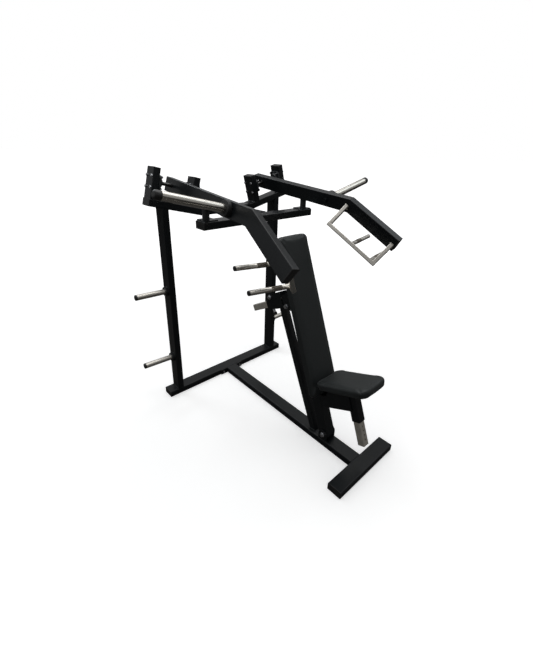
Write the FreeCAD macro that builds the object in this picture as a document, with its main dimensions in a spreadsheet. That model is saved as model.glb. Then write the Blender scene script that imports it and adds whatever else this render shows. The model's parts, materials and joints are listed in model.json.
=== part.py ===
import FreeCAD, Part
import math
import os

import Sketcher

# Plate-loaded chest press machine with an adjustable bench.
# Frame: +Z up, +X to the user's left, the user faces -Y.
# Origin: centre of the rear cross beam's underside, on the floor.
# All sizes are in millimetres and all angles in degrees.

os.makedirs("parts", exist_ok=True)
doc = FreeCAD.newDocument("ChestPress")
V = FreeCAD.Vector
X_AXIS, Y_AXIS, Z_AXIS = V(1, 0, 0), V(0, 1, 0), V(0, 0, 1)
SIDES = {"left": 1, "right": -1}

# ---------------------------------------------------------------- driving dimensions

DIMENSIONS = {
    # structural tube and its plugs
    "tube_wide": 100, "tube_narrow": 50, "tube_wall": 3, "tube_round": 5,
    "plug_lip": 4, "plug_depth": 12, "plug_slack": 0.3, "plug_round": 4.5,
    # base
    "rear_beam_length": 1232, "foot_length": 568, "foot_reach": 1500,
    "flange_width": 232, "flange_thick": 8, "flange_height": 48,
    "flange_bolt_spread": 182, "flange_bolt_rise": 22, "flange_bolt_radius": 6,
    "flange_bolt_length": 34, "bolt_short": 4, "upright_centre": 522,
    # tilted pivot heads on the uprights
    "pivot_tilt": 14, "pivot_out": 635, "pivot_rise": 1572, "head_end": 240,
    "post_inset": 305, "post_height": 202, "axle_rise": 163,
    # flange bearings
    "flange_square": 98, "flange_corner": 20, "flange_plate": 14,
    "boss_radius": 31, "boss_flare": 5, "boss_depth": 18, "bearing_bolt_pitch": 74,
    "bearing_bolt_radius": 5, "bearing_hole_radius": 5.3, "bearing_bolt_length": 78,
    "bolt_head_radius": 9.8, "bolt_head_height": 7, "axle_radius": 12.5, "running_gap": 0.05,
    "axle_length": 252.5,
    # cross tie, carriers and stop beam
    "tie_bottom": 1473, "carrier_offset": 75, "carrier_bottom": 1470,
    "stop_reach": 433, "stop_bottom": 1467, "stop_length": 966,
    "bumper_offset": 442, "bumper_radius": 23, "bumper_gap": 0.3,
    "bumper_plate_length": 96, "bumper_plate_thick": 8, "bumper_plate_offset": 431,
    # storage horns
    "store_low": 350, "store_high": 929, "store_radius": 21, "store_wall": 3, "store_tilt": 2,
    "store_length": 232, "store_collar_radius": 36, "store_collar_thick": 20,
    "store_collar_round": 2, "store_cap_length": 12, "store_spigot": 21.2,
    "store_spigot_radius": 20, "spigot_root": 4,
    "pipe_plug_round": 3,
    # press arms
    "arm_lateral": 187, "arm_tail": 86, "arm_slope": 5.8, "arm_bend_reach": 876,
    "arm_lower_length": 416, "arm_lower_slope": 31.7,
    "horn_reach": 683, "horn_radius": 25, "horn_wall": 4, "horn_base": 30, "horn_length": 402,
    "horn_cap_length": 40, "horn_cap_round": 14,
    "horn_collar_radius": 47, "horn_collar_thick": 28, "horn_collar_round": 3,
    "horn_spigot": 28.2, "horn_spigot_radius": 24, "horn_bolt_grip": 26,
    "horn_bolt_radius": 8, "horn_bolt_head": 13.9, "horn_bolt_height": 10,
    "washer_radius": 17, "washer_thick": 3,
    # handles
    "handle_start": -12, "handle_end": 396, "handle_drop": 16, "handle_leg": 160,
    "handle_angle": 43, "handle_bar": 25, "handle_round": 4,
    "grip_radius": 14, "grip_wall": 2.5, "grip_length": 255, "grip_first": 0.52,
    "grip_second": 0.93, "grip_sweep": 8, "grip_droop": 11, "grip_plug_length": 7,
    # bench pivot
    "bench_reach": 1200, "bench_rise": 95, "bench_lean": 21,
    "spine_width": 80, "spine_wall": 3, "spine_round": 7, "spine_tail": 15,
    "spine_length": 1290, "bush_radius": 13,
    "clevis_thick": 8, "clevis_radius": 34, "clevis_gap": 1, "pin_radius": 8,
    "pin_head_radius": 13.9, "pin_head_height": 10, "nut_height": 13,
    # fixed rear stay
    "stay_width": 50, "stay_lean": 23.8, "stay_foot": 1118,
    # back adjuster
    "ear_rear": 102.2, "ear_up": 933.6, "ear_thick": 8, "ear_radius": 22, "ear_gap": 1,
    "ear_back": 30.8, "ear_shoulder": 79, "ear_top": 100, "ear_bottom": 40,
    "bar_slope": 28, "bar_width": 50, "bar_wall": 3, "bar_round": 5, "bar_rise": 42.2,
    "bar_nose": 14, "bar_length": 403, "bar_pitch": 37, "bar_hole_radius": 5.5,
    "knuckle_radius": 16, "sleeve_play_side": 1, "sleeve_play_up": 3, "sleeve_wall": 5,
    "sleeve_start": 70, "sleeve_length": 138, "cross_bolt_along": 143,
    "cross_bolt_up": 50.8, "hanger_radius": 14, "adjuster_pin_along": 182,
    "cradle_start": 26, "cradle_end": 181, "cradle_floor": 39.5, "cradle_top": 68,
    "cradle_thick": 6, "cradle_gap": 1, "cradle_foot": 92, "cradle_round": 12,
    # pads
    "pad_width": 264, "pad_length": 1100, "pad_start": 307, "board_thick": 10,
    "back_thick": 46, "seat_depth": 398, "seat_rear": 100, "seat_thick": 52,
    "pad_corner": 38, "seat_corner": 58, "board_inset": 16, "board_gap": 0.2,
    # seat carriage
    "seat_axis": 308, "seat_tube_width": 50, "seat_tube_wall": 4, "seat_tube_low": -3,
    "seat_low": 388, "mount_thick": 6, "mount_side": 140,
    "seat_sleeve_width": 60, "seat_sleeve_wall": 4.9, "seat_sleeve_low": 163,
    "seat_sleeve_high": 362, "hole_pitch": 30, "first_hole": 38, "hole_radius": 5.5,
    "hole_count": 9, "seat_pin_step": 8,
    "strap_thick": 8, "strap_offset": 34, "strap_low_rear": 218, "strap_low_front": 238,
    "strap_high": 348, "strap_reach": 300, "strap_notch": 96, "strap_rise": 40, "strap_gap": 5,
    # pop pins
    "pop_radius": 5, "pop_gap": 0.05, "pop_body_radius": 10, "pop_body_length": 34,
    "pop_knob_radius": 15, "pop_knob_length": 22, "pop_knob_round": 4,
    "pop_nose_gap": 0.5,
    # working sizes: trimming blocks, and how far a drill or a blank runs past its piece
    "trim_size": 1400, "through": 120, "overrun": 60, "past": 1,
}

sheet = doc.addObject("Spreadsheet::Sheet", "dims")
for row, (alias, number) in enumerate(DIMENSIONS.items(), start=1):
    sheet.set(f"A{row}", alias)
    sheet.set(f"B{row}", str(number))
    sheet.setAlias(f"B{row}", alias)
doc.recompute()


class Sizes:
    """Reads a driving dimension from the sheet by its alias."""

    def __getattr__(self, alias):
        return float(sheet.get(alias))


size = Sizes()


def bound(expression):
    """Turns every alias in an expression into a reference to the sheet."""
    words = sorted(DIMENSIONS, key=len, reverse=True)
    out, index = "", 0
    while index < len(expression):
        hit = next((w for w in words if expression.startswith(w, index)), None)
        if hit and not (index and (expression[index - 1].isalnum() or expression[index - 1] == "_")):
            out += "dims." + hit
            index += len(hit)
        else:
            out += expression[index]
            index += 1
    return out


def bind(thing, **expressions):
    """Ties properties of an object to expressions of the sheet's aliases."""
    for name, expression in expressions.items():
        thing.setExpression(name, bound(str(expression)))


# ---------------------------------------------------------------- building blocks

def origin_plane(body, role):
    return next(f for f in body.Origin.OriginFeatures if f.Role == role)


def polygon(sketch, corners, tag):
    """Closed outline whose corners are pairs of expressions."""
    start = sketch.GeometryCount
    count = len(corners)
    for i in range(count):
        angle, after = 2 * math.pi * i / count, 2 * math.pi * (i + 1) / count
        a = V(math.cos(angle), math.sin(angle), 0) * 20
        b = V(math.cos(after), math.sin(after), 0) * 20
        sketch.addGeometry(Part.LineSegment(a, b), False)
    for i in range(count):
        sketch.addConstraint(Sketcher.Constraint("Coincident", start + i, 2, start + (i + 1) % count, 1))
    for i, pair in enumerate(corners):
        for kind, letter, expression in zip(("DistanceX", "DistanceY"), "xy", pair):
            number = sketch.addConstraint(Sketcher.Constraint(kind, -1, 1, start + i, 1, 10.0 + i))
            name = f"{tag}_{letter}{i}"
            sketch.renameConstraint(number, name)
            sketch.setExpression("Constraints." + name, bound(str(expression)))


def round_hole(sketch, spot, radius, tag):
    """Circle at a pair of expressions."""
    index = sketch.addGeometry(Part.Circle(V(1, 1, 0), Z_AXIS, 5), False)
    for kind, letter, expression in zip(("DistanceX", "DistanceY"), "xy", spot):
        number = sketch.addConstraint(Sketcher.Constraint(kind, -1, 1, index, 3, 1.0))
        sketch.renameConstraint(number, f"{tag}_{letter}")
        sketch.setExpression(f"Constraints.{tag}_{letter}", bound(str(expression)))
    number = sketch.addConstraint(Sketcher.Constraint("Radius", index, 5.0))
    sketch.renameConstraint(number, f"{tag}_r")
    sketch.setExpression(f"Constraints.{tag}_r", bound(str(radius)))


def pad(name, outlines, length, placement, holes=()):
    """Body with one sketch of closed outlines and round holes, padded along its own Z."""
    body = doc.addObject("PartDesign::Body", name)
    sketch = body.newObject("Sketcher::SketchObject", name + "_sketch")
    sketch.AttachmentSupport = [(origin_plane(body, "XY_Plane"), "")]
    sketch.MapMode = "FlatFace"
    for i, corners in enumerate(outlines):
        polygon(sketch, corners, f"o{i}")
    for i, (spot, radius) in enumerate(holes):
        round_hole(sketch, spot, radius, f"c{i}")
    feature = body.newObject("PartDesign::Pad", name + "_pad")
    feature.Profile = sketch
    bind(feature, Length=length)
    sketch.Visibility = False
    body.Placement = placement
    doc.recompute()
    return body


def round_edges(body, radius, wanted):
    """Fillets the edges of a body's tip for which wanted(edge) is true."""
    tip = body.Tip
    names = [f"Edge{i + 1}" for i, edge in enumerate(tip.Shape.Edges) if wanted(edge)]
    feature = body.newObject("PartDesign::Fillet", body.Name + "_fillet")
    feature.Base = (tip, names)
    bind(feature, Radius=radius)
    doc.recompute()
    return body


def straight(edge):
    return isinstance(edge.Curve, Part.Line)


def outer_corner_edge(edge, half_x, half_y):
    """True for a lengthwise edge on the outside corner of a rectangular tube."""
    middle = edge.CenterOfMass
    along = straight(edge) and abs(edge.tangentAt(edge.FirstParameter).z) > 0.99
    return along and abs(abs(middle.x) - half_x) < 0.1 and abs(abs(middle.y) - half_y) < 0.1


def rectangle(width, depth):
    return [(f"-({width})/2", f"-({depth})/2"), (f"({width})/2", f"-({depth})/2"),
            (f"({width})/2", f"({depth})/2"), (f"-({width})/2", f"({depth})/2")]


def tube(name, width, depth, wall, length, placement, rounding="tube_round"):
    """Rectangular hollow section along its own Z."""
    inner = rectangle(f"{width} - 2 * {wall}", f"{depth} - 2 * {wall}")
    body = pad(name, [rectangle(width, depth), inner], length, placement)
    half_x, half_y = getattr(size, width) / 2, getattr(size, depth) / 2
    return round_edges(body, rounding, lambda e: outer_corner_edge(e, half_x, half_y))


def cylinder(name, radius, length, placement):
    solid = doc.addObject("Part::Cylinder", name)
    bind(solid, Radius=radius, Height=length)
    solid.Placement = placement
    return solid


def block(name, length, width, height, placement):
    solid = doc.addObject("Part::Box", name)
    bind(solid, Length=length, Width=width, Height=height)
    solid.Placement = placement
    return solid


def hexagon(name, radius, length, placement):
    solid = doc.addObject("Part::Prism", name)
    solid.Polygon = 6
    bind(solid, Circumradius=radius, Height=length)
    solid.Placement = placement
    return solid


def cut(name, base, tool):
    result = doc.addObject("Part::Cut", name)
    result.Base, result.Tool = base, tool
    return result


def join(name, pieces):
    result = doc.addObject("Part::MultiFuse", name)
    result.Shapes = pieces
    return result


def group(name, pieces):
    """One node of separate, identical or paired solids."""
    result = doc.addObject("Part::Compound", name)
    result.Links = pieces
    return result


def soften(name, base, radius, wanted):
    """Rounds the edges of a Part object for which wanted(edge) is true."""
    doc.recompute()
    chosen = [i + 1 for i, edge in enumerate(base.Shape.Edges) if wanted(edge)]
    value = getattr(size, radius)
    result = doc.addObject("Part::Fillet", name)
    result.Base = base
    result.Edges = [(i, value, value) for i in chosen]
    return result


def beyond(name, placement):
    """Trimming block that holds everything near a place above its own Z = 0."""
    corner = -size.trim_size / 2
    return block(name, "trim_size", "trim_size", "trim_size", placement * at(corner, corner, 0))


def at(x, y, z, rotation=None):
    return FreeCAD.Placement(V(x, y, z), rotation or FreeCAD.Rotation())


def facing(direction, across=None):
    """Rotation that turns an object's own Z to direction and its X towards across."""
    z = V(direction).normalize()
    x = V(across) if across else (X_AXIS if abs(z.x) < 0.9 else Y_AXIS)
    return FreeCAD.Rotation(x, V(), z, "ZXY")


def bolt(name, placement, shank, length, head_radius, head_height):
    """Hexagon bolt along its own Z: head below zero, shank above. Sizes are expressions."""
    lift = at(0, 0, -getattr(size, head_height))
    pieces = [cylinder(name + "_shank", shank, length, placement),
              hexagon(name + "_head", head_radius, head_height, placement * lift)]
    return join(name, pieces)


NODES = {}


def node(name, thing):
    """Names a finished sub-part: its Label is its file's name."""
    thing.Label = name
    NODES[name] = thing
    return thing


# ---------------------------------------------------------------- base frame

ALONG_X = facing(X_AXIS, Y_AXIS)          # own X is world Y (wide side), own Z is world X
ALONG_Y = facing(V(0, -1, 0), X_AXIS)     # own X is world X (wide side), own Z runs forward
HALF_NARROW = size.tube_narrow / 2
HALF_WIDE = size.tube_wide / 2
WALL = "tube_wall"


def end_plug(name, placement):
    """Push-in plug for the structural tube; its lip lies above its own Z = 0."""
    lip = block(name + "_lip", "tube_wide", "tube_narrow", "plug_lip",
                placement * at(-HALF_WIDE, -HALF_NARROW, 0))
    rounded = soften(name + "_round", lip, "plug_round", lambda e: plug_edge(e, placement))
    inner_wide = "tube_wide - 2 * tube_wall - 2 * plug_slack"
    inner_narrow = "tube_narrow - 2 * tube_wall - 2 * plug_slack"
    shift = size.tube_wall + size.plug_slack
    stem = block(name + "_stem", inner_wide, inner_narrow, "plug_depth",
                 placement * at(shift - HALF_WIDE, shift - HALF_NARROW, -size.plug_depth))
    return join(name, [rounded, stem])


def plug_edge(edge, placement):
    """True for the four corner edges along a plug's own Z."""
    direction = placement.Rotation.multVec(Z_AXIS)
    return abs(edge.tangentAt(edge.FirstParameter).dot(direction)) > 0.99


def base_frame():
    half_rear = size.rear_beam_length / 2
    half_foot = size.foot_length / 2
    flange_front = HALF_WIDE + size.flange_thick
    spots = [s * size.flange_bolt_spread / 2 for s in (-1, 1)]
    inward = facing(Y_AXIS, X_AXIS)
    drills = [cylinder(f"flange_drill{i}", "flange_bolt_radius", "flange_bolt_length",
                       at(x, -flange_front - size.past, size.flange_bolt_rise, inward))
              for i, x in enumerate(spots)]
    holes = join("flange_drills", drills)
    beam = tube("rear_beam_tube", "tube_wide", "tube_narrow", WALL, "rear_beam_length",
                at(-half_rear, 0, HALF_NARROW, ALONG_X))
    node("rear_cross_beam", cut("rear_cross_beam", beam, holes))
    central_start = at(0, -flange_front, HALF_NARROW, ALONG_Y)
    length = "foot_reach - tube_wide - flange_thick"
    node("central_beam", tube("central_beam", "tube_wide", "tube_narrow", WALL, length,
                              central_start))
    node("front_foot", tube("front_foot", "tube_wide", "tube_narrow", WALL, "foot_length",
                            at(-half_foot, -size.foot_reach, HALF_NARROW, ALONG_X)))
    plate = block("flange_blank", "flange_width", "flange_thick", "flange_height",
                  at(-size.flange_width / 2, -flange_front, 0))
    node("beam_flange_plate", cut("beam_flange_plate", plate, holes))
    bolts = [bolt(f"flange_bolt{i}", at(x, -flange_front, size.flange_bolt_rise, inward),
                  "flange_bolt_radius", "flange_bolt_length - bolt_short",
                  "bolt_head_radius", "bolt_head_height")
             for i, x in enumerate(spots)]
    node("flange_bolts", group("flange_bolts", bolts))


def uprights():
    """Two uprights on the rear beam, cut to the slope of the pivot heads."""
    for side, sign in SIDES.items():
        place = at(sign * size.upright_centre, 0, size.tube_narrow, facing(Z_AXIS, Y_AXIS))
        name = f"{side}_upright"
        shaft = tube(name + "_tube", "tube_wide", "tube_narrow", WALL, "pivot_rise", place)
        node(name, cut(name, shaft, beyond(name + "_slope", head(sign, 0, 0, 0))))


def head(sign, inward, forward, up, rotation=None):
    """Placement in a tilted pivot head: inward along the axle, forward, and up."""
    tilt = FreeCAD.Rotation(Y_AXIS, -sign * size.pivot_tilt)
    frame = at(sign * size.pivot_out, 0, size.pivot_rise, tilt)
    return frame * at(-sign * inward, -forward, up, rotation)


def head_beams():
    """Top beams, pivot posts and the four flange bearings of the tilted heads."""
    posts = {"outer": [], "inner": []}
    for side, sign in SIDES.items():
        inward = facing(V(-sign, 0, 0), Y_AXIS)
        run = tube(f"{side}_top_tube", "tube_wide", "tube_narrow", WALL, "pivot_out",
                   head(sign, 0, 0, HALF_NARROW, inward))
        trim = beyond(f"{side}_top_trim", at(sign * size.head_end, 0, size.pivot_rise, inward))
        node(f"{side}_top_beam", cut(f"{side}_top_beam", run, trim))
        upward = facing(Z_AXIS, Y_AXIS)
        for which, start in (("outer", 0), ("inner", size.post_inset)):
            post = tube(f"{side}_{which}_tube", "tube_wide", "tube_narrow", WALL, "post_height",
                        head(sign, start + HALF_NARROW, 0, size.tube_narrow, upward))
            drills = bearing_holes(f"{side}_{which}", sign, start)
            posts[which].append(cut(f"{side}_{which}_post", post, drills))
    node("outer_pivot_posts", group("outer_pivot_posts", posts["outer"]))
    node("inner_pivot_posts", group("inner_pivot_posts", posts["inner"]))


def bolt_spots():
    half = size.bearing_bolt_pitch / 2
    return [(f, size.axle_rise + u) for f in (-half, half) for u in (-half, half)]


def bearing_holes(name, sign, start):
    """Four bolt holes across a pivot post."""
    along = facing(V(-sign, 0, 0), Y_AXIS)
    holes = [cylinder(f"{name}_hole{i}", "bearing_hole_radius", "through",
                      head(sign, start - size.past, forward, up, along))
             for i, (forward, up) in enumerate(bolt_spots())]
    return join(f"{name}_holes", holes)


def flange_bearing(name, place):
    """Square four-bolt bearing; its own Z leaves the post along the axle."""
    plate = pad(name + "_plate", [rectangle("flange_square", "flange_square")], "flange_plate",
                place, holes=bearing_spots())
    half = size.flange_square / 2
    round_edges(plate, "flange_corner", lambda e: outer_corner_edge(e, half, half))
    boss = doc.addObject("Part::Cone", name + "_boss")
    bind(boss, Radius1="boss_radius + boss_flare", Radius2="boss_radius", Height="boss_depth")
    boss.Placement = place * at(0, 0, size.flange_plate)
    bore = cylinder(name + "_bore", "axle_radius + running_gap", "through",
                    place * at(0, 0, -size.past))
    return cut(name, join(name + "_body", [plate, boss]), bore)


def bearing_spots():
    half = "bearing_bolt_pitch / 2"
    return [((f"{s}{half}", f"{u}{half}"), "bearing_hole_radius") for s in ("", "-") for u in ("", "-")]


def bearings():
    units, fasteners = [], []
    for side, sign in SIDES.items():
        facings = (("outer", size.tube_narrow, -sign), ("inner", size.post_inset, sign))
        for which, face, direction in facings:
            out = facing(V(direction, 0, 0), Y_AXIS)
            name = f"{side}_{which}_bearing"
            units.append(flange_bearing(name, head(sign, face, 0, size.axle_rise, out)))
            far = face - size.tube_narrow if which == "outer" else face + size.tube_narrow
            for i, (forward, up) in enumerate(bolt_spots()):
                place = head(sign, far, forward, up, out)
                fasteners.append(bolt(f"{name}_bolt{i}", place, "bearing_bolt_radius",
                                      "bearing_bolt_length", "bolt_head_radius",
                                      "bolt_head_height"))
                fasteners.append(nut(f"{name}_nut{i}",
                                     place * at(0, 0, size.tube_narrow + size.flange_plate),
                                     "bearing_bolt_radius", "bolt_head_radius",
                                     "bolt_head_height"))
    node("flange_bearings", group("flange_bearings", units))
    node("bearing_bolts", group("bearing_bolts", fasteners))


def nut(name, placement, bore, radius, height):
    """Hexagon nut standing on its own Z = 0."""
    return cut(name, hexagon(name + "_hex", radius, height, placement),
               cylinder(name + "_bore", bore, "through", placement * at(0, 0, -size.past)))


def stop_frame():
    """Cross tie between the heads, its two carriers, and the stop beam with bumpers."""
    tie = tube("tie_tube", "tube_wide", "tube_narrow", WALL, "2 * head_end",
               at(-size.head_end, 0, size.tie_bottom + HALF_NARROW, ALONG_X))
    carriers = [tube(f"carrier{i}", "tube_narrow", "tube_narrow", WALL,
                     "stop_reach - tube_wide",
                     at(s * size.carrier_offset, -HALF_WIDE, size.carrier_bottom + HALF_NARROW,
                        ALONG_Y))
                for i, s in enumerate((-1, 1))]
    node("cross_tie", tie)
    node("stop_beam_carriers", group("stop_beam_carriers", carriers))
    half = size.stop_length / 2
    node("stop_beam", tube("stop_beam", "tube_wide", "tube_narrow", WALL, "stop_length",
                           at(-half, -size.stop_reach, size.stop_bottom + HALF_NARROW, ALONG_X)))
    top = size.stop_bottom + size.tube_narrow
    plates, bumpers = [], []
    for side, sign in SIDES.items():
        centre = sign * size.bumper_plate_offset - size.bumper_plate_length / 2
        plate = block(side + "_bumper_slab", "bumper_plate_length", "tube_wide - 6",
                      "bumper_plate_thick", at(centre, 3 - size.stop_reach - HALF_WIDE, top))
        plates.append(plate)
        blank = cylinder(side + "_bumper_blank", "bumper_radius", "through",
                         at(sign * size.bumper_offset, -size.stop_reach,
                            top + size.bumper_plate_thick))
        trim = beyond(side + "_bumper_trim",
                      arm_point(sign, size.stop_reach, -HALF_WIDE - size.bumper_gap))
        bumpers.append(cut(side + "_bumper_cut", blank, trim))
    node("bumper_plates", group("bumper_plates", plates))
    node("bumpers", group("bumpers", bumpers))


def storage():
    """Four plate storage horns, tipped up a little, with their collars and caps."""
    horns, collars, caps = [], [], []
    tilt = math.radians(size.store_tilt)
    face = size.upright_centre + HALF_NARROW
    for side, sign in SIDES.items():
        outward = facing(V(sign * math.cos(tilt), 0, math.sin(tilt)), Y_AXIS)
        for level in ("store_low", "store_high"):
            name = f"{side}_{level}"
            height = getattr(size, level)
            place = at(sign * face, 0, height, outward)
            wall = beyond(name + "_wall", at(sign * face, 0, height, facing(V(-sign, 0, 0), Y_AXIS)))
            bare = pipe(name + "_pipe", "store_radius", "store_wall",
                        "store_length - store_spigot", place * at(0, 0, size.store_spigot))
            spigot = pipe(name + "_spigot", "store_spigot_radius",
                          "store_wall - store_radius + store_spigot_radius",
                          "store_spigot + spigot_root", place * at(0, 0, -size.spigot_root))
            horns.append(join(name + "_horn", [bare, cut(name + "_root", spigot, wall)]))
            disc = cylinder(name + "_disc", "store_collar_radius", "store_collar_thick",
                            at(sign * face, 0, height, facing(V(sign, 0, 0), Y_AXIS)))
            rounded = soften(name + "_collar_round", disc, "store_collar_round",
                             lambda e: not straight(e))
            collars.append(cut(name + "_collar", rounded,
                               cylinder(name + "_eye", "store_spigot_radius", "through",
                                        place * at(0, 0, -size.through / 2))))
            tip = place * at(0, 0, size.store_length)
            caps.append(pipe_plug(name + "_cap", "store_radius", "store_radius - store_wall",
                                  "store_cap_length", tip))
    node("storage_horns", group("storage_horns", horns))
    node("storage_collars", group("storage_collars", collars))
    node("storage_caps", group("storage_caps", caps))


def pipe(name, radius, wall, length, placement):
    """Round hollow section along its own Z."""
    return cut(name, cylinder(name + "_rod", radius, length, placement),
               cylinder(name + "_bore", f"{radius} - ({wall})", f"{length} + 2 * past",
                        placement * at(0, 0, -size.past)))


def pipe_plug(name, radius, stem_radius, length, placement, rounding="pipe_plug_round"):
    """Plastic plug with a rounded lip above its own Z = 0 and a stem below."""
    lip = cylinder(name + "_lip", radius, length, placement)
    tip = placement.multVec(V(0, 0, getattr(size, length)))
    crown = soften(name + "_crown", lip, rounding,
                   lambda e: e.CenterOfMass.distanceToPoint(tip) < 1)
    stem = cylinder(name + "_stem", f"{stem_radius} - plug_slack", "plug_depth",
                    placement * at(0, 0, -size.plug_depth))
    return join(name, [crown, stem])


def tube_plugs():
    """Identical plugs in every open end of the frame's structural tube."""
    half_rear, half_foot = size.rear_beam_length / 2, size.foot_length / 2
    half_stop = size.stop_length / 2
    stop_level = size.stop_bottom + HALF_NARROW
    ends = [(x, 0, HALF_NARROW) for x in (-half_rear, half_rear)]
    ends += [(x, -size.foot_reach, HALF_NARROW) for x in (-half_foot, half_foot)]
    ends += [(x, -size.stop_reach, stop_level) for x in (-half_stop, half_stop)]
    plugs = []
    for i, spot in enumerate(ends):
        out = facing(V(1 if spot[0] > 0 else -1, 0, 0), Y_AXIS)
        plugs.append(end_plug(f"beam_plug{i}", at(*spot, out)))
    for side, sign in SIDES.items():
        out = facing(V(sign, 0, 0), Y_AXIS)
        plugs.append(end_plug(side + "_top_plug", head(sign, 0, 0, HALF_NARROW, out)))
        for i, start in enumerate((0, size.post_inset)):
            level = size.tube_narrow + size.post_height
            place = head(sign, start + HALF_NARROW, 0, level, facing(Z_AXIS, Y_AXIS))
            plugs.append(end_plug(f"{side}_post_plug{i}", place))
    node("tube_plugs", group("tube_plugs", plugs))


# ---------------------------------------------------------------- bench

def bench(forward, up, across=0.0, rotation=None):
    """Placement in the bench's frame: forward of the post's centre line, up along it."""
    lean = FreeCAD.Rotation(X_AXIS, -size.bench_lean)
    frame = at(0, -size.bench_reach, size.bench_rise, lean)
    return frame * at(across, -forward, up, rotation)


BENCH_UP = facing(Z_AXIS, X_AXIS)
BENCH_FORWARD = facing(V(0, -1, 0), X_AXIS)


def bar(along, up, across=0.0, rotation=None):
    """Placement in the adjusting bar's frame: back along it from its bolt, and up."""
    slope = FreeCAD.Rotation(X_AXIS, -size.bar_slope)
    bolt_place = bench(-size.ear_rear, size.ear_up)
    frame = FreeCAD.Placement(bolt_place.Base, slope) * at(0, 0, size.bar_rise)
    return frame * at(across, along, up, rotation)


BAR_BACK = facing(Y_AXIS, X_AXIS)


def rear_stay():
    """Fixed leaning post, cut flat on the central beam and under the cradle."""
    lean = FreeCAD.Rotation(X_AXIS, -size.stay_lean)
    start = at(0, -size.stay_foot, size.tube_narrow, lean)
    shaft = tube("stay_tube", "stay_width", "stay_width", WALL, "stay_foot",
                 start * at(0, size.stay_width / 2, -size.overrun))
    below = beyond("stay_foot_trim", at(0, -size.stay_foot, size.tube_narrow,
                                        facing(V(0, 0, -1), X_AXIS)))
    above = beyond("stay_top_trim", bar(0, -size.cradle_floor - size.cradle_thick))
    node("rear_stay", cut("rear_stay", shaft, join("stay_trims", [below, above])))


def cradle():
    """Floor plate on the stay with two upright cheeks, and the bolt across them."""
    inner = size.bar_width / 2 + size.sleeve_play_side + size.sleeve_wall + size.cradle_gap
    floor = block("cradle_floor_plate", "bar_width + 2 * sleeve_play_side + 2 * sleeve_wall"
                  " + 2 * cradle_gap", "cradle_foot - cradle_start", "cradle_thick",
                  bar(size.cradle_start, -size.cradle_floor - size.cradle_thick, -inner))
    outline = [("cradle_start", "-cradle_floor - cradle_thick"),
               ("cradle_foot", "-cradle_floor - cradle_thick"), ("cradle_end", "-34"),
               ("cradle_end", "cradle_top"), ("cradle_start", "cradle_top")]
    hole = [(("cross_bolt_along", "cross_bolt_up"), "pin_radius")]
    cheeks = []
    for i, x in enumerate((inner, -inner - size.cradle_thick)):
        cheek = pad(f"cheek{i}", [outline], "cradle_thick", bar(0, 0, x, facing(X_AXIS, Y_AXIS)),
                    holes=hole)
        round_edges(cheek, "cradle_round", lambda e: upper_corner(e, size.cradle_top))
        cheeks.append(cheek)
    node("adjuster_cradle", join("adjuster_cradle", [floor] + cheeks))
    node("cradle_bolt", cross_bolt("cradle_bolt", bar(size.cross_bolt_along, size.cross_bolt_up),
                                   inner + size.cradle_thick))


def upper_corner(edge, top):
    """True for the two short edges at a cheek's upper corners."""
    middle = edge.CenterOfMass
    return straight(edge) and edge.Length < 20 and abs(middle.y - top) < 0.1


def cross_bolt(name, centre, half_grip):
    """Bolt, two washers and nut across the machine: the head lies on the right side."""
    outside = half_grip + size.washer_thick
    along = centre * FreeCAD.Placement(V(-outside, 0, 0), facing(X_AXIS, Y_AXIS))
    length = 2 * outside + size.nut_height + size.bolt_short
    stud = bolt(name + "_stud", along, "pin_radius", str(length), "pin_head_radius",
                "pin_head_height")
    washers = [washer(f"{name}_washer{i}", along * at(0, 0, start), "pin_radius")
               for i, start in enumerate((0, outside + half_grip))]
    lock = nut(name + "_nut", along * at(0, 0, 2 * outside), "pin_radius", "pin_head_radius",
               "nut_height")
    return group(name, [stud, lock] + washers)


def washer(name, placement, bore):
    """Flat washer standing on its own Z = 0."""
    return cut(name, cylinder(name + "_disc", "washer_radius", "washer_thick", placement),
               cylinder(name + "_bore", bore, "through", placement * at(0, 0, -size.past)))


def box_tube(name, inner_width, inner_depth, wall, length, placement, rounding):
    """Square tube given by its inner size, with rounded outer corners."""
    outer = rectangle(f"{inner_width} + 2 * {wall}", f"{inner_depth} + 2 * {wall}")
    body = pad(name, [outer, rectangle(inner_width, inner_depth)], length, placement)
    box = body.Shape.copy()
    box.Placement = at(0, 0, 0)
    half_x, half_y = box.BoundBox.XMax, box.BoundBox.YMax
    return round_edges(body, rounding, lambda e: outer_corner_edge(e, half_x, half_y))


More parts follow.
